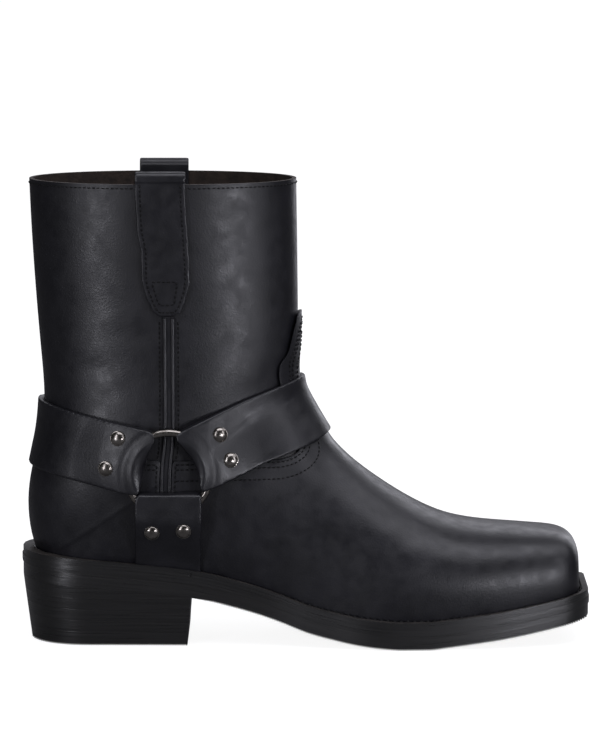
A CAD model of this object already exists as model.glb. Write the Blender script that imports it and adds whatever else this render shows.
import math

import bmesh
import bpy
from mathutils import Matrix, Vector
from mathutils.bvhtree import BVHTree


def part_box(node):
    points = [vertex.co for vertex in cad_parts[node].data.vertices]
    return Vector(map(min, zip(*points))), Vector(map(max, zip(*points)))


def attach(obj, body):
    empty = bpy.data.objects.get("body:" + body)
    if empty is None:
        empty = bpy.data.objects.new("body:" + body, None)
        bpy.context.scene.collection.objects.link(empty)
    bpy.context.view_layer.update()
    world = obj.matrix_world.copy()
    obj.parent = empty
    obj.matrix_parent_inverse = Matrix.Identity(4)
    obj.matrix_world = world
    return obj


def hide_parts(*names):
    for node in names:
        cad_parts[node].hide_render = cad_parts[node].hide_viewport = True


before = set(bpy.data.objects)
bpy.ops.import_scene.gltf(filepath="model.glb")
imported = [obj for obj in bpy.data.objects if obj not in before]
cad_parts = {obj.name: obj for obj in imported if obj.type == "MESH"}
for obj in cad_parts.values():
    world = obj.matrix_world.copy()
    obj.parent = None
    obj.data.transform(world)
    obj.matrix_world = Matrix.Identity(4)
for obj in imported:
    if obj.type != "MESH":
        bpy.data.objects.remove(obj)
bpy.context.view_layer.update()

SCENE = bpy.context.scene

# The row frame is the boot frame moved across, so that its bounding box is centred
LENGTH = 0.308
HEIGHT = 0.251
ACROSS = (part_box("ring_lateral")[0].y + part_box("ring_medial")[1].y) / 2

# Corners nearer than WELD are one. CLEAR is a distance at which a ray starts outside the boot
WELD = 0.00001
CLEAR = 0.2


def along(share):
    return LENGTH * (share - 0.5)


def upward(share):
    return HEIGHT * share


# ---- Objects made and changed the way a person would in the window


def only(obj):
    """Leaves obj as the one selected and active object."""
    if bpy.context.object and bpy.context.object.mode != "OBJECT":
        bpy.ops.object.mode_set(mode="OBJECT")
    bpy.ops.object.select_all(action="DESELECT")
    obj.hide_set(False)
    obj.select_set(True)
    bpy.context.view_layer.objects.active = obj
    return obj


def face_outwards(obj, weld=0.0):
    """Turns the mesh's faces outwards, after welding corners nearer than weld."""
    only(obj)
    bpy.ops.object.mode_set(mode="EDIT")
    bpy.ops.mesh.select_all(action="SELECT")
    if weld:
        bpy.ops.mesh.remove_doubles(threshold=weld)
    bpy.ops.mesh.normals_make_consistent(inside=False)
    bpy.ops.object.mode_set(mode="OBJECT")


def copy_node(node, name):
    """A welded copy of a CAD node with a mesh of its own, which stands in for the node."""
    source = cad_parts[node]
    made = bpy.data.objects.new(name, source.data.copy())
    SCENE.collection.objects.link(made)
    made.data.materials.clear()
    face_outwards(made, WELD)
    if made.data.attributes.get("custom_normal"):
        made.data.attributes.remove(made.data.attributes["custom_normal"])
    return made


def apply(obj, kind, **values):
    """Adds one modifier with these values and applies it."""
    only(obj)
    mod = obj.modifiers.new(kind.title(), kind)
    for key, value in values.items():
        setattr(mod, key, value)
    bpy.ops.object.modifier_apply(modifier=mod.name)
    return obj


def smooth(obj, angle=35):
    only(obj)
    bpy.ops.object.shade_smooth_by_angle(angle=math.radians(angle))


def mesh_object(name, points, faces):
    mesh = bpy.data.meshes.new(name)
    mesh.from_pydata([tuple(p) for p in points], [], faces)
    mesh.validate()
    mesh.update()
    made = bpy.data.objects.new(name, mesh)
    SCENE.collection.objects.link(made)
    return made


def join(objects, name):
    bpy.ops.object.select_all(action="DESELECT")
    for obj in objects:
        obj.select_set(True)
    bpy.context.view_layer.objects.active = objects[0]
    bpy.ops.object.join()
    made = bpy.context.object
    made.name = name
    made.data.name = name
    return made


def drop(obj):
    bpy.data.objects.remove(obj, do_unlink=True)


def keep(obj, slot, material, *nodes):
    """Gives the finished piece its material, its place in the record and the CAD nodes that it stands for."""
    if material:
        obj.data.materials.clear()
        obj.data.materials.append(material)
    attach(obj, "root")
    if nodes:
        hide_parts(*nodes)


def tree_of(*objects):
    """A search tree over these meshes, which all sit at the origin."""
    points, faces = [], []
    for obj in objects:
        start = len(points)
        points += [v.co.copy() for v in obj.data.vertices]
        faces += [[start + i for i in p.vertices] for p in obj.data.polygons]
    return BVHTree.FromPolygons(points, faces)


# ---- Materials, all procedural and on Object coordinates


def grain_group():
    """Height of a fine pebbled grain with a slow unevenness under it."""
    tree = bpy.data.node_groups.new("fine_grain", "ShaderNodeTree")
    tree.interface.new_socket("Vector", in_out="INPUT", socket_type="NodeSocketVector")
    tree.interface.new_socket("Scale", in_out="INPUT", socket_type="NodeSocketFloat")
    tree.interface.new_socket("Height", in_out="OUTPUT", socket_type="NodeSocketFloat")
    start = tree.nodes.new("NodeGroupInput")
    end = tree.nodes.new("NodeGroupOutput")
    pebble = tree.nodes.new("ShaderNodeTexVoronoi")
    pebble.feature = "SMOOTH_F1"
    speck = tree.nodes.new("ShaderNodeTexNoise")
    speck.inputs["Detail"].default_value = 4
    add = tree.nodes.new("ShaderNodeMath")
    add.operation = "MULTIPLY_ADD"
    add.inputs[1].default_value = 0.6
    for node in (pebble, speck):
        tree.links.new(start.outputs["Vector"], node.inputs["Vector"])
        tree.links.new(start.outputs["Scale"], node.inputs["Scale"])
    tree.links.new(speck.outputs["Fac"], add.inputs[0])
    tree.links.new(pebble.outputs["Distance"], add.inputs[2])
    tree.links.new(add.outputs["Value"], end.inputs["Height"])
    return tree


GRAIN = grain_group()


def material(name, colour, rough, metallic=0, coat=0, coat_rough=0.2):
    made = bpy.data.materials.new(name)
    made.use_nodes = True
    made.diffuse_color = (*colour, 1)
    shader = made.node_tree.nodes["Principled BSDF"]
    shader.inputs["Base Color"].default_value = (*colour, 1)
    shader.inputs["Roughness"].default_value = rough
    shader.inputs["Metallic"].default_value = metallic
    shader.inputs["Coat Weight"].default_value = coat
    shader.inputs["Coat Roughness"].default_value = coat_rough
    return made


def place(mat, stretch=(1, 1, 1)):
    """Object coordinates in this material, stretched by a mapping."""
    tree = mat.node_tree
    source = tree.nodes.new("ShaderNodeTexCoord")
    mapping = tree.nodes.new("ShaderNodeMapping")
    mapping.inputs["Scale"].default_value = stretch
    tree.links.new(source.outputs["Object"], mapping.inputs["Vector"])
    return mapping.outputs["Vector"]


def noise(mat, scale, detail=3, stretch=(1, 1, 1)):
    tree = mat.node_tree
    node = tree.nodes.new("ShaderNodeTexNoise")
    node.inputs["Scale"].default_value = scale
    node.inputs["Detail"].default_value = detail
    tree.links.new(place(mat, stretch), node.inputs["Vector"])
    return node.outputs["Fac"]


def bump(mat, height, distance, strength=1.0, under=None):
    """A bump on the shader. Under is the socket of a bump that it adds to."""
    tree = mat.node_tree
    node = tree.nodes.new("ShaderNodeBump")
    node.inputs["Distance"].default_value = distance
    node.inputs["Strength"].default_value = strength
    tree.links.new(height, node.inputs["Height"])
    if under:
        tree.links.new(under, node.inputs["Normal"])
    tree.links.new(node.outputs["Normal"], tree.nodes["Principled BSDF"].inputs["Normal"])
    return node.outputs["Normal"]


def grain(mat, scale, distance, strength=1.0, under=None):
    tree = mat.node_tree
    node = tree.nodes.new("ShaderNodeGroup")
    node.node_tree = GRAIN
    node.inputs["Scale"].default_value = scale
    tree.links.new(place(mat), node.inputs["Vector"])
    return bump(mat, node.outputs["Height"], distance, strength, under)


def between(mat, factor, low, high, socket):
    """Drives one of the shader's values from low to high by factor."""
    tree = mat.node_tree
    node = tree.nodes.new("ShaderNodeMapRange")
    node.inputs["From Min"].default_value = 0.3
    node.inputs["From Max"].default_value = 0.7
    node.inputs["To Min"].default_value = low
    node.inputs["To Max"].default_value = high
    tree.links.new(factor, node.inputs["Value"])
    tree.links.new(node.outputs["Result"], tree.nodes["Principled BSDF"].inputs[socket])


def tint(mat, factor, dark, light):
    tree = mat.node_tree
    node = tree.nodes.new("ShaderNodeValToRGB")
    node.color_ramp.elements[0].position = 0.3
    node.color_ramp.elements[1].position = 0.72
    node.color_ramp.elements[0].color = (*dark, 1)
    node.color_ramp.elements[1].color = (*light, 1)
    tree.links.new(factor, node.inputs["Fac"])
    tree.links.new(node.outputs["Color"], tree.nodes["Principled BSDF"].inputs["Base Color"])


LEATHER = material("black_leather", (0.009, 0.009, 0.0105), 0.45, coat=0.12, coat_rough=0.36)
tint(LEATHER, noise(LEATHER, 45, 4), (0.0058, 0.0058, 0.008), (0.0128, 0.0126, 0.0162))
between(LEATHER, noise(LEATHER, 150, 6), 0.33, 0.5, "Roughness")
slow = bump(LEATHER, noise(LEATHER, 38, 2), 0.0007, 0.35)
grain(LEATHER, 1100, 0.00009, 0.6, slow)

OVERLAY = material("black_overlay_leather", (0.01, 0.01, 0.0115), 0.43, coat=0.14, coat_rough=0.33)
tint(OVERLAY, noise(OVERLAY, 55, 4), (0.0062, 0.0062, 0.0085), (0.0136, 0.0134, 0.0172))
between(OVERLAY, noise(OVERLAY, 160, 6), 0.32, 0.49, "Roughness")
slow = bump(OVERLAY, noise(OVERLAY, 42, 2), 0.0006, 0.3)
grain(OVERLAY, 1100, 0.00009, 0.6, slow)

LINING = material("flesh_side_lining", (0.03, 0.021, 0.016), 0.9)
tint(LINING, noise(LINING, 220, 5), (0.016, 0.011, 0.009), (0.045, 0.031, 0.023))
grain(LINING, 900, 0.0002, 0.8)

RAW_EDGE = material("raw_leather_edge", (0.045, 0.036, 0.03), 0.75)
tint(RAW_EDGE, noise(RAW_EDGE, 700, 3), (0.02, 0.016, 0.013), (0.07, 0.055, 0.045))
grain(RAW_EDGE, 1400, 0.0001, 0.7)


def level_lines(mat, scale, detail, stretch):
    """Noise drawn out into fine lines that follow the height stored on the piece as level."""
    tree = mat.node_tree
    source = tree.nodes.new("ShaderNodeTexCoord")
    level = tree.nodes.new("ShaderNodeAttribute")
    level.attribute_name = "level"
    split = tree.nodes.new("ShaderNodeSeparateXYZ")
    merge = tree.nodes.new("ShaderNodeCombineXYZ")
    mapping = tree.nodes.new("ShaderNodeMapping")
    mapping.inputs["Scale"].default_value = stretch
    node = tree.nodes.new("ShaderNodeTexNoise")
    node.inputs["Scale"].default_value = scale
    node.inputs["Detail"].default_value = detail
    tree.links.new(source.outputs["Object"], split.inputs["Vector"])
    tree.links.new(split.outputs["X"], merge.inputs["X"])
    tree.links.new(split.outputs["Y"], merge.inputs["Y"])
    tree.links.new(level.outputs["Fac"], merge.inputs["Z"])
    tree.links.new(merge.outputs["Vector"], mapping.inputs["Vector"])
    tree.links.new(mapping.outputs["Vector"], node.inputs["Vector"])
    return node.outputs["Fac"]


SOLE_EDGE = material("dressed_sole_edge", (0.004, 0.0039, 0.0042), 0.3, coat=0.9, coat_rough=0.27)
tint(SOLE_EDGE, level_lines(SOLE_EDGE, 6, 5, (3, 3, 160)), (0.002, 0.0019, 0.002), (0.0075, 0.0071, 0.0072))
between(SOLE_EDGE, level_lines(SOLE_EDGE, 8, 4, (3, 3, 140)), 0.24, 0.42, "Roughness")
lines = bump(SOLE_EDGE, level_lines(SOLE_EDGE, 5, 6, (2, 2, 260)), 0.00014, 0.5)
grain(SOLE_EDGE, 1100, 0.00005, 0.4, lines)

TREAD = material("black_rubber_tread", (0.012, 0.0118, 0.0115), 0.55)
grain(TREAD, 900, 0.0001, 0.5)

RAND_TOP = material("welt_top", (0.03, 0.027, 0.025), 0.6, coat=0.06, coat_rough=0.4)
tint(RAND_TOP, noise(RAND_TOP, 160, 5), (0.012, 0.011, 0.010), (0.055, 0.047, 0.042))
grain(RAND_TOP, 1000, 0.0001, 0.6)

METAL = material("antique_nickel", (0.32, 0.295, 0.27), 0.19, metallic=1)
tint(METAL, noise(METAL, 260, 4), (0.2, 0.183, 0.165), (0.42, 0.392, 0.36))
between(METAL, noise(METAL, 420, 4), 0.15, 0.3, "Roughness")
grain(METAL, 700, 0.00004, 0.35)

THREAD = material("black_thread", (0.005, 0.005, 0.005), 0.6)
THREAD.node_tree.nodes["Principled BSDF"].inputs["Specular IOR Level"].default_value = 0.25
grain(THREAD, 2600, 0.00006, 0.6)


# ---- Camera, light and floor

LOOK_X = -0.0027
camera_data = bpy.data.cameras.new("camera")
camera_data.sensor_width = 36
camera_data.lens = 237.1
camera_data.clip_end = 60
camera = bpy.data.objects.new("camera", camera_data)
SCENE.collection.objects.link(camera)
camera.location = (LOOK_X, -2.6 + ACROSS, 0.5)
target = Vector((LOOK_X, ACROSS, 0.148))
camera.rotation_euler = (target - camera.location).to_track_quat("-Z", "Y").to_euler()
SCENE.camera = camera

LAMP_COLOUR = (0.92, 0.92, 1.0)


def softbox(name, azimuth, elevation, distance, width, height, power, aim=(-0.02, 0, 0.12)):
    """A rectangular lamp. Azimuth 0 is the camera's side and 90 is in front of the toe."""
    a, e = math.radians(azimuth), math.radians(elevation)
    middle = Vector(aim)
    away = Vector((math.sin(a) * math.cos(e), -math.cos(a) * math.cos(e), math.sin(e)))
    data = bpy.data.lights.new(name, "AREA")
    data.shape = "RECTANGLE"
    data.size = width
    data.size_y = height
    data.energy = power
    data.color = LAMP_COLOUR
    lamp = bpy.data.objects.new(name, data)
    SCENE.collection.objects.link(lamp)
    lamp.location = middle + away * distance
    lamp.rotation_euler = (-away).to_track_quat("-Z", "Y").to_euler()


softbox("lamp_front_quarter", 53, 14, 1.7, 0.28, 1.5, 5)
softbox("lamp_rear_quarter", -34, 14, 1.8, 0.36, 1.6, 7)
softbox("lamp_overhead", 20, 72, 1.6, 1.5, 1.1, 13)
softbox("lamp_low_toe", 29, 1, 1.3, 0.35, 0.2, 5, (0.1, 0, 0.02))
softbox("lamp_low_heel", -36, 1, 1.5, 0.14, 0.25, 2.6, (-0.13, 0, 0.04))
softbox("lamp_backdrop", 0, 90, 2.6, 5, 5, 60, (0, 4.6, 0))
softbox("lamp_toe", 98, 48, 1.6, 0.9, 0.9, 3.6)
softbox("lamp_far_side", 168, 26, 1.9, 1.3, 0.9, 2.8)
softbox("lamp_rim", 150, 8, 1.9, 0.6, 0.8, 3.4)


def seen_or_lit(tree, seen, lit, links_to):
    """Joins one shader for what the camera sees and another for the light that it gives."""
    path = tree.nodes.new("ShaderNodeLightPath")
    mix = tree.nodes.new("ShaderNodeMixShader")
    tree.links.new(path.outputs["Is Camera Ray"], mix.inputs["Fac"])
    tree.links.new(lit, mix.inputs[1])
    tree.links.new(seen, mix.inputs[2])
    tree.links.new(mix.outputs["Shader"], links_to)


world = bpy.data.worlds.new("studio")
world.use_nodes = True
dim = world.node_tree.nodes["Background"]
dim.inputs["Color"].default_value = (1, 1, 1, 1)
dim.inputs["Strength"].default_value = 0.04
bright = world.node_tree.nodes.new("ShaderNodeBackground")
bright.inputs["Color"].default_value = (1, 1, 1, 1)
bright.inputs["Strength"].default_value = 1.0
world_end = world.node_tree.nodes["World Output"].inputs["Surface"]
seen_or_lit(world.node_tree, bright.outputs["Background"], dim.outputs["Background"], world_end)
SCENE.world = world
SCENE.view_settings.view_transform = "Standard"

bpy.ops.mesh.primitive_plane_add(size=60, location=(0, 0, 0))
floor = bpy.context.object
floor.name = "floor"
FLOOR = material("pale_floor", (0.14, 0.14, 0.14), 0.9)
shader = FLOOR.node_tree.nodes["Principled BSDF"]
glow = FLOOR.node_tree.nodes.new("ShaderNodeBsdfPrincipled")
glow.inputs["Base Color"].default_value = (0.32, 0.32, 0.32, 1)
glow.inputs["Roughness"].default_value = 1
glow.inputs["Emission Color"].default_value = (1, 1, 1, 1)
glow.inputs["Emission Strength"].default_value = 0.91
floor_end = FLOOR.node_tree.nodes["Material Output"].inputs["Surface"]
seen_or_lit(FLOOR.node_tree, glow.outputs["BSDF"], shader.outputs["BSDF"], floor_end)
floor.data.materials.append(FLOOR)


# ---- Lines and the upper's smooth skin


def curve(points, steps=6):
    """A smooth curve through the points."""
    rows = [points[0] * 2 - points[1], *points, points[-1] * 2 - points[-2]]
    made = []
    for i in range(1, len(rows) - 2):
        a, b, c, d = rows[i - 1 : i + 3]
        for k in range(steps):
            t = k / steps
            square = (2 * a - 5 * b + 4 * c - d) * t * t
            cube = (3 * b - a - 3 * c + d) * t**3
            made.append(0.5 * (2 * b + (c - a) * t + square + cube))
    return made + [points[-1]]


ANKLE_MIDDLE = Vector((-0.077, ACROSS, 0.1))
FOOT_BACK_X = -0.11
FOOT_FRONT_X = 0.118
FOOT_MIDDLE_Z = 0.046


def faces_inwards(middle, normal):
    """True for a face on the lining side."""
    if middle.z > ANKLE_MIDDLE.z:
        heart = Vector((ANKLE_MIDDLE.x, ACROSS, middle.z))
    else:
        heart = Vector((min(max(middle.x, FOOT_BACK_X), FOOT_FRONT_X), ACROSS, FOOT_MIDDLE_Z))
    return (middle - heart).dot(normal) < 0


def sharpen(obj, angle):
    """A full crease on every edge that turns by more than angle, so that subdividing keeps it."""
    bm = bmesh.new()
    bm.from_mesh(obj.data)
    layer = bm.edges.layers.float.get("crease_edge") or bm.edges.layers.float.new("crease_edge")
    for edge in bm.edges:
        if edge.is_boundary or edge.calc_face_angle(0) > math.radians(angle):
            edge[layer] = 1
    bm.to_mesh(obj.data)
    bm.free()


def quads(obj):
    only(obj)
    bpy.ops.object.mode_set(mode="EDIT")
    bpy.ops.mesh.select_all(action="SELECT")
    bpy.ops.mesh.tris_convert_to_quads(face_threshold=math.pi, shape_threshold=math.pi)
    bpy.ops.object.mode_set(mode="OBJECT")


upper = copy_node("upper", "upper_leather")
quads(upper)
sharpen(upper, 55)
apply(upper, "SUBSURF", levels=2)
for slot_material in (LEATHER, LINING, RAW_EDGE):
    upper.data.materials.append(slot_material)
RIM_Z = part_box("upper")[1].z - 0.004
for face in upper.data.polygons:
    if face.center.z > RIM_Z and face.normal.z > 0.6:
        face.material_index = 2
    elif faces_inwards(face.center, face.normal):
        face.material_index = 1


def outer_skin(name):
    """A copy of the leather's outer side alone."""
    made = bpy.data.objects.new(name, upper.data.copy())
    SCENE.collection.objects.link(made)
    only(made)
    bpy.ops.object.mode_set(mode="EDIT")
    bpy.ops.mesh.select_all(action="DESELECT")
    bpy.ops.object.mode_set(mode="OBJECT")
    for face in made.data.polygons:
        face.select = face.material_index != 0
    bpy.ops.object.mode_set(mode="EDIT")
    bpy.ops.mesh.select_mode(type="FACE")
    bpy.ops.mesh.delete(type="FACE")
    bpy.ops.object.mode_set(mode="OBJECT")
    made.data.materials.clear()
    return made


CREASES = (
    ("lateral", ((0.172, 0.688), (0.215, 0.678), (0.236, 0.684)), 0.0006, 0.0028),
    ("lateral", ((0.405, 0.640), (0.440, 0.606), (0.462, 0.596)), 0.0005, 0.0042),
    ("lateral", ((0.060, 0.640), (0.100, 0.607), (0.150, 0.598)), 0.0005, 0.0042),
    ("medial", ((0.400, 0.650), (0.440, 0.612), (0.466, 0.600)), 0.0006, 0.0042),
    ("medial", ((0.060, 0.630), (0.110, 0.600), (0.160, 0.606)), 0.0006, 0.0042),
    ("lateral", ((0.640, 0.165), (0.662, 0.215), (0.690, 0.245)), 0.0004, 0.0045),
    ("medial", ((0.640, 0.165), (0.662, 0.220), (0.690, 0.250)), 0.0005, 0.0045),
)


def press_creases(obj):
    """Soft troughs with a low ridge on each side, pressed into both faces of the wall."""
    tree = tree_of(obj)
    for side, line, depth, width in CREASES:
        spots = []
        sign = 1 if side == "medial" else -1
        for share, up in line:
            start = Vector((along(share), ACROSS + sign * CLEAR, upward(up)))
            spots.append(tree.ray_cast(start, Vector((0, -sign, 0)))[0])
        fine = curve(spots, 8)
        heart = sum(fine, Vector()) / len(fine)
        reach = max((p - heart).length for p in fine) + 4 * width
        for v in obj.data.vertices:
            if (v.co - heart).length > reach:
                continue
            far = min((v.co - p).length for p in fine) / width
            outwards = Vector((0, sign, 0))
            v.co += outwards * depth * (0.45 * math.exp(-((far - 1.9) ** 2)) - math.exp(-far * far))


press_creases(upper)
skin = outer_skin("skin")
skin_tree = tree_of(skin)
smooth(upper, 50)
keep(upper, "leather", None, "upper")


# ---- Outlines as seen from the side, as shares of the sole's length and of the collar's height

SEAM_LINE = [(0.252, 0.14), (0.256, 0.335), (0.258, 0.398), (0.263, 0.474), (0.263, 0.717)]
TONGUE_EDGE = [
    (0.458, 0.4055),
    (0.478, 0.412),
    (0.492, 0.431),
    (0.482, 0.486),
    (0.459, 0.554),
    (0.456, 0.598),
    (0.470, 0.626),
    (0.477, 0.656),
    (0.484, 0.689),
    (0.4945, 0.712),
    (0.560, 0.727),
]
OVERLAY_TOP = 0.4052
COUNTER_TOP_BACK = 0.446
SEAM_HALF = 0.0109
FLANK = 0.09


def from_side(points):
    """Side-view points in metres from shares."""
    return [Vector((along(a), 0, upward(u))) for a, u in points]


def side_prism(outline):
    """A solid across the boot with this side-view outline."""
    count = len(outline)
    points = [Vector((p.x, ACROSS + y, p.z)) for y in (-FLANK, FLANK) for p in outline]
    walls = [[i, (i + 1) % count, count + (i + 1) % count, count + i] for i in range(count)]
    ends = [list(range(count)), list(range(2 * count - 1, count - 1, -1))]
    made = mesh_object("prism", points, [*ends, *walls])
    face_outwards(made)
    return made


def shell(name, lift, thickness, fine):
    """A layer of leather over the whole skin."""
    made = outer_skin(name)
    if fine:
        apply(made, "SUBSURF", levels=1)
    only(made)
    bpy.ops.object.mode_set(mode="EDIT")
    bpy.ops.mesh.select_all(action="SELECT")
    bpy.ops.transform.shrink_fatten(value=lift)
    bpy.ops.object.mode_set(mode="OBJECT")
    return apply(made, "SOLIDIFY", thickness=thickness, offset=1, use_even_offset=True)


def cut_layer(name, outline, lift=0.0001, thickness=0.0021, fine=False):
    """A layer of leather over the skin inside a side-view outline."""
    made = shell(name, lift, thickness, fine)
    form = side_prism(outline)
    apply(made, "BOOLEAN", object=form, operation="INTERSECT", solver="EXACT")
    drop(form)
    return made


def soften(obj, width=0.0005, segments=2, angle=50):
    return apply(
        obj, "BEVEL", width=width, segments=segments, limit_method="ANGLE", angle_limit=math.radians(angle)
    )


seam = curve(from_side(SEAM_LINE))
half_seam = Vector((along(0.5 + SEAM_HALF), 0, 0))
seam_low = [p for p in seam if p.z < upward(OVERLAY_TOP) - 0.001]
tongue = curve(from_side(TONGUE_EDGE))
vamp_outline = (
    [Vector((p.x + half_seam.x, 0, p.z)) for p in [Vector((seam_low[0].x, 0, 0)), *seam_low]]
    + from_side([(0.273, OVERLAY_TOP)])
    + tongue
    + from_side([(0.7, 0.727), (1.1, 0.4), (1.1, -0.02), (0.26, -0.02)])
)
vamp = cut_layer("vamp_leather", vamp_outline)
soften(vamp)
smooth(vamp, 30)
keep(vamp, "leather", OVERLAY, "vamp")

COUNTER_TOP = [(0.246, OVERLAY_TOP), (0.03, COUNTER_TOP_BACK - 0.004), (-0.1, COUNTER_TOP_BACK)]
counter_outline = [
    *[Vector((p.x - half_seam.x, 0, p.z)) for p in [Vector((seam_low[0].x, 0, 0)), *seam_low]],
    *from_side(COUNTER_TOP),
    *from_side([(-0.1, -0.02)]),
]
counter = cut_layer("counter_leather", counter_outline)
soften(counter)
smooth(counter, 30)
keep(counter, "leather", OVERLAY, "heel_counter")


# ---- The harness straps, cut from thick leather and folded round the rings

BACK_STRAP_EDGE = [
    (0.2240, 0.4757),
    (0.2345, 0.4700),
    (0.2385, 0.4550),
    (0.2285, 0.4270),
    (0.2205, 0.3900),
    (0.2150, 0.3640),
    (0.2100, 0.3405),
    (0.2020, 0.3365),
    (0.1910, 0.3370),
]
FRONT_STRAP_EDGE = [
    (0.560, 0.5935),
    (0.498, 0.5730),
    (0.461, 0.5600),
    (0.415, 0.5415),
    (0.377, 0.5240),
    (0.286, 0.4745),
    (0.2765, 0.4590),
    (0.2893, 0.4345),
    (0.3045, 0.4075),
    (0.3133, 0.3840),
    (0.3185, 0.3480),
    (0.333, 0.3465),
    (0.384, 0.3725),
    (0.4285, 0.3985),
    (0.4785, 0.4209),
    (0.523, 0.4405),
    (0.560, 0.4625),
]
SOLE_STRAP_EDGE = [
    (0.313, 0.0),
    (0.3205, 0.31),
    (0.319, 0.338),
    (0.310, 0.3425),
    (0.262, 0.338),
    (0.211, 0.339),
    (0.204, 0.332),
    (0.1995, 0.0),
]
STRAP_UNDER = 0.0006
STRAP_TOP = 0.0048
STRAP_CELL = 0.0006
RING_WIRE = 0.002
FOLD_COVER = 0.0019
FOLD_CREST = 0.0026
FOLD_INNER = 0.0068
FOLD_OUTER = 0.032
FOLD_LIFT = 0.0085
FOLD_TROUGH = 0.07
FOLD_TROUGH_OUT = 0.0024
SOLE_FOLD_TOP = upward(0.3415)
SOLE_FOLD_ROUND = 0.0022
SOLE_FOLD_FADE = 0.03
BACK_PULL = 0.0016
BACK_PULL_X = along(0.09)
BACK_PULL_LOW = upward(0.42)
BACK_PULL_HIGH = upward(0.54)
RINGS = {}
for side in ("lateral", "medial"):
    low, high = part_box("ring_" + side)
    RINGS[side] = (low + high) / 2
RING_RADIUS = (high.x - low.x) / 2 - RING_WIRE


def fold_share(distance):
    """How far a strap is lifted over the ring, by distance from the ring's middle in the side view."""
    crest = RING_RADIUS - FOLD_CREST
    if distance < crest:
        u = min((crest - distance) / FOLD_INNER, 1)
        return math.sqrt(1 - u * u)
    t = min((distance - crest) / FOLD_OUTER, 1)
    trough = FOLD_TROUGH * math.exp(-(((distance - RING_RADIUS - FOLD_TROUGH_OUT) / 0.0022) ** 2))
    return (1 - t) ** 1.5 - trough


def flat_fold_share(z):
    """The same for a sole strap, whose fold is straight: a rounded top edge, then flat over the ring."""
    edge = SOLE_FOLD_TOP - SOLE_FOLD_ROUND
    low_ = RINGS["lateral"].z - RING_RADIUS
    if z > edge:
        return math.sqrt(max(1 - ((z - edge) / (SOLE_FOLD_ROUND + 0.0004)) ** 2, 0))
    t = min(max((low_ - z) / SOLE_FOLD_FADE, 0), 1)
    return 1 - t * t * (3 - 2 * t)


def fold_over_rings(obj, flat):
    """Lifts the strap's outer side into a roll where it goes round a ring."""
    for v in obj.data.vertices:
        side = "lateral" if v.co.y < ACROSS else "medial"
        middle = RINGS[side]
        distance = math.hypot(v.co.x - middle.x, v.co.z - middle.z)
        spot, normal, _, _ = skin_tree.find_nearest(v.co)
        height = (v.co - spot).length
        share = min(max((height - 0.0022) / (STRAP_TOP - 0.0026), 0), 1)
        top = abs(middle.y - ACROSS) + RING_WIRE + FOLD_COVER
        own = abs(v.co.y - ACROSS)
        if flat:
            fold = flat_fold_share(v.co.z)
        else:
            fold = fold_share(distance)
        lift = share * fold * min(max(top - own, 0), FOLD_LIFT)
        v.co.y += math.copysign(lift, v.co.y - ACROSS)


def pull_in_at_the_back(obj):
    """Brings the strap's upper edge nearer to the shaft behind the heel."""
    for v in obj.data.vertices:
        back = min(max((BACK_PULL_X - v.co.x) / 0.02, 0), 1)
        high_up = min(max((v.co.z - BACK_PULL_LOW) / (BACK_PULL_HIGH - BACK_PULL_LOW), 0), 1)
        v.co.x += BACK_PULL * back * high_up


def one_side(obj, side):
    """Cuts away the half of a strap on the other side of the boot."""
    aside = -CLEAR if side == "lateral" else CLEAR
    bpy.ops.mesh.primitive_cube_add(size=2 * CLEAR, location=(0, ACROSS + aside, 0.1))
    half = bpy.context.object
    bpy.ops.object.transform_apply(location=True, rotation=True, scale=True)
    apply(obj, "BOOLEAN", object=half, operation="INTERSECT", solver="EXACT")
    drop(half)


def strap(name, outline, node, side=None):
    """A strap of thick leather inside a side-view outline, on both sides of the boot or on one."""
    made = cut_layer(name, outline, STRAP_UNDER, STRAP_TOP - STRAP_UNDER, True)
    if side:
        one_side(made, side)
    apply(made, "REMESH", mode="VOXEL", voxel_size=STRAP_CELL, adaptivity=0)
    apply(made, "SMOOTH", factor=0.5, iterations=4)
    fold_over_rings(made, side is not None)
    pull_in_at_the_back(made)
    apply(made, "SMOOTH", factor=0.5, iterations=5)
    only(made)
    bpy.ops.object.shade_smooth()
    keep(made, "leather", OVERLAY, node)
    return made


back_outline = [
    *from_side([(-0.1, 0.5545)]),
    *curve(from_side(BACK_STRAP_EDGE)),
    *from_side([(0.0145, 0.3825), (-0.1, 0.412)]),
]
straps = [
    strap("back_strap_leather", back_outline, "back_strap"),
    strap("front_strap_leather", curve(from_side(FRONT_STRAP_EDGE)), "front_strap"),
    strap("sole_strap_lateral_leather", from_side(SOLE_STRAP_EDGE), "sole_strap_lateral", "lateral"),
    strap("sole_strap_medial_leather", from_side(SOLE_STRAP_EDGE), "sole_strap_medial", "medial"),
]


# ---- Rings and rivets

for side, middle in RINGS.items():
    bpy.ops.mesh.primitive_torus_add(
        location=middle,
        rotation=(math.pi / 2, 0, 0),
        major_segments=96,
        minor_segments=20,
        major_radius=RING_RADIUS,
        minor_radius=RING_WIRE,
    )
    ring = bpy.context.object
    ring.name = "ring_" + side + "_metal"
    bpy.ops.object.transform_apply(location=True, rotation=True, scale=True)
    bpy.ops.object.shade_smooth()
    keep(ring, "metal", METAL, "ring_" + side)

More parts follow.
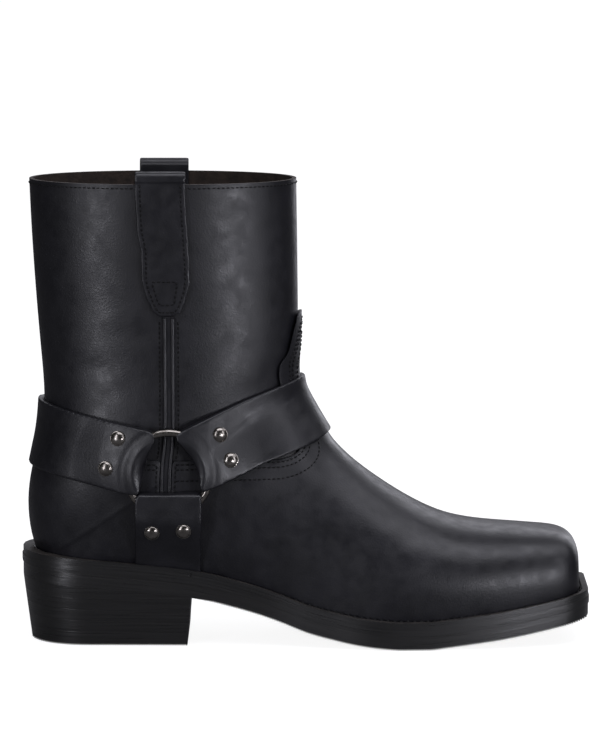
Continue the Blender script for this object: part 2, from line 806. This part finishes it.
RIVET_RADIUS = 0.004
RIVET_RISE = 0.0023
strap_tree = tree_of(*straps)
for place_name in ("back", "front", "sole"):
    for number in (1, 2, 3, 4):
        node = "rivet_%s_%d" % (place_name, number)
        low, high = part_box(node)
        middle = (low + high) / 2
        inwards = Vector((0, -1 if middle.y > ACROSS else 1, 0))
        spot, normal, _, _ = strap_tree.ray_cast(middle - inwards * 0.05, inwards)
        _, under, _, _ = skin_tree.find_nearest(spot)
        normal = (normal + under * 2).normalized()
        bpy.ops.mesh.primitive_uv_sphere_add(segments=36, ring_count=24, radius=RIVET_RADIUS)
        dome = bpy.context.object
        bpy.ops.transform.resize(value=(1, 1, RIVET_RISE / RIVET_RADIUS))
        bpy.ops.object.transform_apply(location=True, rotation=True, scale=True)
        bpy.ops.mesh.primitive_cylinder_add(vertices=36, radius=RIVET_RADIUS * 1.04, depth=0.0016)
        base = bpy.context.object
        soften(base, 0.0003, 2, 40)
        rivet = join([dome, base], node + "_metal")
        rivet.rotation_euler = normal.to_track_quat("Z", "Y").to_euler()
        rivet.location = spot
        bpy.ops.object.transform_apply(location=True, rotation=True, scale=True)
        smooth(rivet, 40)
        keep(rivet, "metal", METAL, node)


# ---- Outsole, midsole, welt and heel

RIB_PITCH = 0.0013
RIB_WIDTH = 0.00078
RIB_DEPTH = 0.0007
JOINT = 0.00031
bottom_tree = tree_of(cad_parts["outsole"])


def underside(x):
    spot = bottom_tree.ray_cast(Vector((x, ACROSS, -CLEAR)), Vector((0, 0, 1)))[0]
    return spot.z if spot else 0.0


def set_levels(obj, heel=False):
    """Stores each corner's height above the underside, for the fine lines round the edge."""
    levels = obj.data.attributes.new("level", "FLOAT", "POINT")
    for v, row in zip(obj.data.vertices, levels.data):
        x = min(max(v.co.x, along(0.004)), along(0.996))
        row.value = v.co.z - (0 if heel else underside(x))


def paint_sole(obj):
    for mat in (SOLE_EDGE, RAND_TOP, TREAD):
        obj.data.materials.append(mat)
    for face in obj.data.polygons:
        if face.normal.z > 0.75:
            face.material_index = 1
        elif face.normal.z < -0.75:
            face.material_index = 2


def move_side(obj, up, amount, after=-1.0):
    """Moves the top or the underside of a plate, from a place along the boot forward."""
    picked = {i for p in obj.data.polygons if p.normal.z * up > 0.75 for i in p.vertices}
    for i in picked:
        v = obj.data.vertices[i]
        if v.co.x > after:
            v.co.z += amount


def widen(obj, amount):
    """Moves the edge of a plate outwards."""
    bm = bmesh.new()
    bm.from_mesh(obj.data)
    bm.normal_update()
    moves = []
    for v in bm.verts:
        flat = [f.normal for f in v.link_faces if abs(f.normal.z) < 0.5]
        if flat:
            outwards = sum(flat, Vector())
            outwards.z = 0
            moves.append((v, outwards.normalized() * amount))
    for v, move in moves:
        v.co += move
    bm.to_mesh(obj.data)
    bm.free()


def ribs(node, name, start, end):
    """Fine ribs across the underside, cut to the CAD outline."""
    bars = []
    x = start
    while x < end:
        z = underside(x) if node == "outsole" else 0.0
        bars.append((x, z))
        x += RIB_PITCH
    points, faces = [], []
    for x, z in bars:
        first = len(points)
        ahead = underside(x + RIB_WIDTH) if node == "outsole" else 0.0
        for px, pz in ((x, z), (x + RIB_WIDTH, ahead)):
            for py in (-FLANK, FLANK):
                for top in (-0.002, RIB_DEPTH + 0.00004):
                    points.append(Vector((px, ACROSS + py, pz + top)))
        for face in ((0, 1, 3, 2), (4, 6, 7, 5), (0, 4, 5, 1), (2, 3, 7, 6), (1, 5, 7, 3), (0, 2, 6, 4)):
            faces.append([first + i for i in face])
    made = mesh_object(name, points, faces)
    face_outwards(made)
    form = copy_node(node, "form")
    apply(made, "BOOLEAN", object=form, operation="INTERSECT", solver="EXACT")
    drop(form)
    made.data.materials.clear()
    keep(made, "sole", TREAD)


BREAST = along(0.3005)
for node, width in (
    ("outsole", 0.00012),
    ("midsole", 0.00012),
    ("welt", 0.0006),
    ("heel_rand", 0.0007),
    ("heel_top_piece", 0.00012),
    ("heel_lift_1", 0.0001),
    ("heel_lift_2", 0.0001),
    ("heel_lift_3", 0.0001),
    ("heel_lift_4", 0.0001),
):
    plate = copy_node(node, node + "_edge")
    if node == "outsole":
        move_side(plate, -1, RIB_DEPTH, BREAST)
    elif node == "heel_top_piece":
        move_side(plate, -1, RIB_DEPTH)
        move_side(plate, 1, JOINT)
    elif node.startswith("heel_lift"):
        move_side(plate, 1, JOINT)
    else:
        move_side(plate, -1, -JOINT)
    if node == "midsole":
        widen(plate, 0.00055)
    soften(plate, width, 2, 48)
    set_levels(plate, node.startswith("heel_") and node != "heel_rand")
    paint_sole(plate)
    smooth(plate, 32)
    apply(plate, "WEIGHTED_NORMAL", weight=100, keep_sharp=True)
    keep(plate, "sole", None, node)

ribs("outsole", "sole_ribs", along(0.302), along(0.9995))
ribs("heel_top_piece", "heel_ribs", along(0.012), along(0.294))

insole = copy_node("insole", "insole_board")
smooth(insole, 35)
keep(insole, "lining", LINING, "insole")


# ---- Paths over the leather, and stitches along them

body_tree = tree_of(skin, vamp, counter)


def to_side(tree, side, points):
    """Side-view points dropped onto one side of the boot, each with the normal there."""
    inwards = Vector((0, 1 if side == "lateral" else -1, 0))
    made = []
    for p in points:
        spot, normal, _, _ = tree.ray_cast(Vector((p.x, ACROSS, p.z)) - inwards * CLEAR, inwards)
        if spot:
            made.append((spot, normal))
    return made


def even(points, gap):
    """Points at even distances along a line of points."""
    made, left = [points[0]], gap
    for a, b in zip(points, points[1:]):
        span = (b - a).length
        while span > left:
            a = a.lerp(b, left / span)
            made.append(a)
            span = (b - a).length
            left = gap
        left -= span
    return made


def on_surface(tree, points):
    return [tree.find_nearest(p)[:2] for p in points]


STITCH_RINGS = ((-1.0, 0.35, -0.6), (-0.62, 0.9, 0.1), (0.0, 1.0, 0.35), (0.62, 0.9, 0.1), (1.0, 0.35, -0.6))
STITCH_SIDES = 6


def stitches(name, path, gap, thick, fill=0.74, rise=0.25):
    """A row of short threads along a path of points with normals, as one mesh."""
    points, faces = [], []
    for (a, n), (b, _) in zip(path, path[1:]):
        step = b - a
        if step.length < gap * 0.4 or step.length > gap * 2.5:
            continue
        forward = step.normalized()
        up = (n - forward * n.dot(forward)).normalized()
        across = forward.cross(up)
        middle = (a + b) / 2
        first = len(points)
        for place_, size, lift in STITCH_RINGS:
            heart = middle + forward * (place_ * step.length * fill / 2) + up * (thick * (lift + rise))
            for k in range(STITCH_SIDES):
                turn = 2 * math.pi * k / STITCH_SIDES
                points.append(heart + (up * math.cos(turn) + across * math.sin(turn)) * (thick * size))
        for r in range(len(STITCH_RINGS) - 1):
            for k in range(STITCH_SIDES):
                low_ = first + r * STITCH_SIDES
                high_ = low_ + STITCH_SIDES
                k2 = (k + 1) % STITCH_SIDES
                faces.append([low_ + k, low_ + k2, high_ + k2, high_ + k])
        faces.append([first + k for k in range(STITCH_SIDES)][::-1])
        last = first + (len(STITCH_RINGS) - 1) * STITCH_SIDES
        faces.append([last + k for k in range(STITCH_SIDES)])
    made = mesh_object(name, points, faces)
    face_outwards(made)
    smooth(made, 60)
    keep(made, "leather", THREAD)


def row_on(name, tree, points, gap, thick):
    """Stitches at even distances along points that lie near a surface."""
    stitches(name, on_surface(tree, even(points, gap)), gap, thick)


def shifted(points, dx=0.0, dz=0.0):
    return [Vector((p.x + dx, p.y, p.z + dz)) for p in points]


GAP = 0.0026
FINE = 0.0004

# Side seams: a flat band with two beads, and a row of stitches on each side
SEAM_BAND = 0.003
BEAD_PLACE = 0.0021
BEAD_RADIUS = 0.00115
BEAD_LIFT = 0.0009
SEAM_ROW = 0.005
PULL_FOOT = 0.7175
seam_high = [p for p in seam if p.z < upward(PULL_FOOT) + 0.001]
band_outline = shifted(seam_high, -SEAM_BAND) + shifted(seam_high, SEAM_BAND)[::-1]
for side in ("lateral", "medial"):
    band = cut_layer("band", band_outline, 0.0001, 0.0008)
    one_side(band, side)
    beads = [band]
    for dx in (-BEAD_PLACE, BEAD_PLACE):
        path = to_side(skin_tree, side, even(shifted(seam_high, dx), 0.002))
        data = bpy.data.curves.new("bead", "CURVE")
        data.dimensions = "3D"
        data.bevel_depth = BEAD_RADIUS
        data.bevel_resolution = 4
        data.use_fill_caps = True
        line = data.splines.new("POLY")
        line.points.add(len(path) - 1)
        for point, (spot, normal) in zip(line.points, path):
            point.co = (*(spot + normal * BEAD_LIFT), 1)
        bead = bpy.data.objects.new("bead", data)
        SCENE.collection.objects.link(bead)
        only(bead)
        bpy.ops.object.convert(target="MESH")
        beads.append(bpy.context.object)
    made = join(beads, "side_seam_%s_leather" % side)
    smooth(made, 40)
    keep(made, "leather", OVERLAY, "side_seam_" + side)
    for number, dx in enumerate((-SEAM_ROW, SEAM_ROW)):
        shaft_part = [p for p in shifted(seam_high, dx) if p.z > upward(0.33)]
        path = to_side(body_tree, side, even(shaft_part, GAP))
        stitches("seam_stitches_%s_%d" % (side, number + 1), path, GAP, FINE)

# Pull straps over the collar
PULL_CELL = 0.0005
pulls = []
for side in ("lateral", "medial"):
    node = "pull_strap_" + side
    pull = copy_node(node, node + "_leather")
    apply(pull, "REMESH", mode="VOXEL", voxel_size=PULL_CELL, adaptivity=0)
    apply(pull, "SMOOTH", factor=0.5, iterations=6)
    only(pull)
    bpy.ops.object.shade_smooth()
    keep(pull, "leather", OVERLAY, node)
    pulls.append(pull)

# Stitches round the pull straps' edges, and the reinforced patch at their foot
PULL_EDGE = [
    (0.2055, 1.003),
    (0.2065, 0.950),
    (0.209, 0.900),
    (0.2155, 0.857),
    (0.2165, 0.793),
    (0.2235, 0.763),
    (0.2365, 0.727),
    (0.2475, PULL_FOOT),
    (0.2635, PULL_FOOT),
    (0.2825, 0.7245),
    (0.2915, 0.748),
    (0.3005, 0.790),
    (0.2985, 0.859),
    (0.294, 0.948),
    (0.2925, 1.003),
]
PULL_PATCH = [(0.2335, 0.7925), (0.2785, 0.7925), (0.2725, 0.7425), (0.2465, 0.7425), (0.2335, 0.7925)]
EDGE_INSET = 0.0026
pull_edge = from_side(PULL_EDGE)
pull_heart = Vector((along(0.2535), 0, 0))
inner_edge = [p.lerp(Vector((pull_heart.x, 0, p.z)), EDGE_INSET / abs(p.x - pull_heart.x)) for p in pull_edge]
inner_edge = [Vector((p.x, 0, max(p.z, upward(PULL_FOOT) + EDGE_INSET))) for p in inner_edge]
PULL_ROWS = {"pull_stitches_": curve(inner_edge, 3), "pull_patch_stitches_": from_side(PULL_PATCH)}
for side, pull in zip(("lateral", "medial"), pulls):
    tree = tree_of(pull)
    for name, line in PULL_ROWS.items():
        stitches(name + side, to_side(tree, side, even(line, GAP)), GAP, FINE)

# The row under the collar's edge, all the way round
COLLAR_ROW_DROP = 0.0022
COLLAR_ROW_STEPS = 360
RIM_DEPTH = 0.003
RIM_REACH = 0.004
UNDER_RIM = 0.008
rim_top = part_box("upper")[1].z
rim = [v.co for v in upper.data.vertices if v.co.z > rim_top - RIM_DEPTH]
shaft_x = (min(p.x for p in rim) + max(p.x for p in rim)) / 2
collar_row = []
for step in range(COLLAR_ROW_STEPS + 1):
    turn = 2 * math.pi * step / COLLAR_ROW_STEPS
    outwards = Vector((math.cos(turn), math.sin(turn), 0))
    start = Vector((shaft_x, ACROSS, rim_top - UNDER_RIM))
    spot = skin_tree.ray_cast(start + outwards * CLEAR, -outwards)[0]
    edge = max((p.z for p in rim if (p.xy - spot.xy).length < RIM_REACH), default=rim_top)
    collar_row.append(Vector((spot.x, spot.y, edge - COLLAR_ROW_DROP)))
row_on("collar_stitches", skin_tree, collar_row, GAP, FINE)


# The vamp's and the counter's edges: rows that run round the front of the boot
def signed(tree, p):
    spot, normal, _, _ = tree.find_nearest(p)
    return (p - spot).dot(normal)


def crossing(tree, line, y):
    """Where a side-view line leaves the leather at this distance across the boot."""
    before = None
    for p in line:
        q = Vector((p.x, y, p.z))
        depth = signed(tree, q)
        if before and before[1] < 0 <= depth:
            return before[0].lerp(q, -before[1] / (depth - before[1]))
        before = (q, depth)
    return None


FRONT_HALF = 0.02
FRONT_STEPS = 20
EDGE_STEP = 0.0012
EDGE_END = upward(0.7)
vamp_top_line = from_side([(0.273, OVERLAY_TOP), (0.44, OVERLAY_TOP)])
edge_line = even(vamp_top_line + tongue, EDGE_STEP)
vamp_edge = []
for spot, _ in to_side(skin_tree, "lateral", edge_line):
    if spot.y < ACROSS - FRONT_HALF and spot.z < EDGE_END:
        vamp_edge.append(spot)
front_line = even(tongue, EDGE_STEP / 2)
for step in range(-FRONT_STEPS, FRONT_STEPS + 1):
    spot = crossing(skin_tree, front_line, ACROSS + FRONT_HALF * step / (FRONT_STEPS + 0.5))
    if spot:
        vamp_edge.append(spot)
for spot, _ in to_side(skin_tree, "medial", edge_line)[::-1]:
    if spot.y > ACROSS + FRONT_HALF and spot.z < EDGE_END:
        vamp_edge.append(spot)


LAYER_TOP = 0.0023
ROW_INSETS = (0.0019, 0.0046, 0.0107)


def moved_in(tree, points, distance):
    """The path moved sideways over the skin by a distance, then out onto the layer over it."""
    made = []
    for i, p in enumerate(points):
        ahead = points[min(i + 3, len(points) - 1)] - points[max(i - 3, 0)]
        normal = skin_tree.find_nearest(p)[1]
        under, normal, _, _ = skin_tree.find_nearest(p + ahead.cross(normal).normalized() * distance)
        made.append(tree.find_nearest(under + normal * LAYER_TOP)[0])
    return made


vamp_tree = tree_of(vamp)
vamp_edge = even(vamp_edge, EDGE_STEP)
for number, inset in enumerate(ROW_INSETS):
    row_on("vamp_stitches_%d" % (number + 1), vamp_tree, moved_in(vamp_tree, vamp_edge, inset), GAP, FINE)

for side in ("lateral", "medial"):
    for number, inset in enumerate(ROW_INSETS[:2]):
        line = [Vector((along(share), 0, upward(OVERLAY_TOP) - inset)) for share in (0.19, 0.2465)]
        path = to_side(tree_of(counter), side, even(line, GAP))
        stitches("counter_stitches_%s_%d" % (side, number + 1), path, GAP, FINE)

# Welt stitches, from breast to breast round the toe
WELT_GAP = 0.0036
WELT_THREAD = 0.00055
WELT_INSET = 0.0034
SURELY_IN = 0.02
SURELY_OUT = 0.07


def outline_at(x, side):
    """The sole's edge at this place, found by halving."""
    sign = 1 if side == "medial" else -1
    low_, high_ = SURELY_IN, SURELY_OUT
    for _ in range(14):
        middle_ = (low_ + high_) / 2
        if bottom_tree.ray_cast(Vector((x, ACROSS + sign * middle_, -CLEAR)), Vector((0, 0, 1)))[0]:
            low_ = middle_
        else:
            high_ = middle_
    return ACROSS + sign * low_


WELT_START = along(0.222)
TOE_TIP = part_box("outsole")[1].x
lateral_edge, medial_edge = [], []
x = WELT_START
while x < TOE_TIP - 0.0002:
    lateral_edge.append(Vector((x, outline_at(x, "lateral"), 0)))
    medial_edge.append(Vector((x, outline_at(x, "medial"), 0)))
    x += 0.0015 if x < TOE_TIP - 0.014 else 0.0004
toe_left, toe_right = lateral_edge[-1].y, medial_edge[-1].y
TOE_STEPS = 30
toe_cross = [
    Vector((TOE_TIP, toe_left + (toe_right - toe_left) * k / TOE_STEPS, 0)) for k in range(1, TOE_STEPS)
]
sole_edge = even(lateral_edge + toe_cross + medial_edge[::-1], EDGE_STEP)
welt_line = []
for i, p in enumerate(sole_edge):
    ahead = sole_edge[min(i + 4, len(sole_edge) - 1)] - sole_edge[max(i - 4, 0)]
    inwards = Vector((-ahead.y, ahead.x, 0)).normalized()
    welt_line.append(p + inwards * WELT_INSET)
sole_top_tree = tree_of(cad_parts["welt"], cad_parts["heel_rand"])
welt_path = []
for p in even(welt_line, WELT_GAP):
    spot = sole_top_tree.ray_cast(Vector((p.x, p.y, CLEAR)), Vector((0, 0, -1)))[0]
    if spot:
        welt_path.append((spot, Vector((0, 0, 1))))
stitches("welt_stitches", welt_path, WELT_GAP, WELT_THREAD, 0.66, 0.1)

drop(skin)
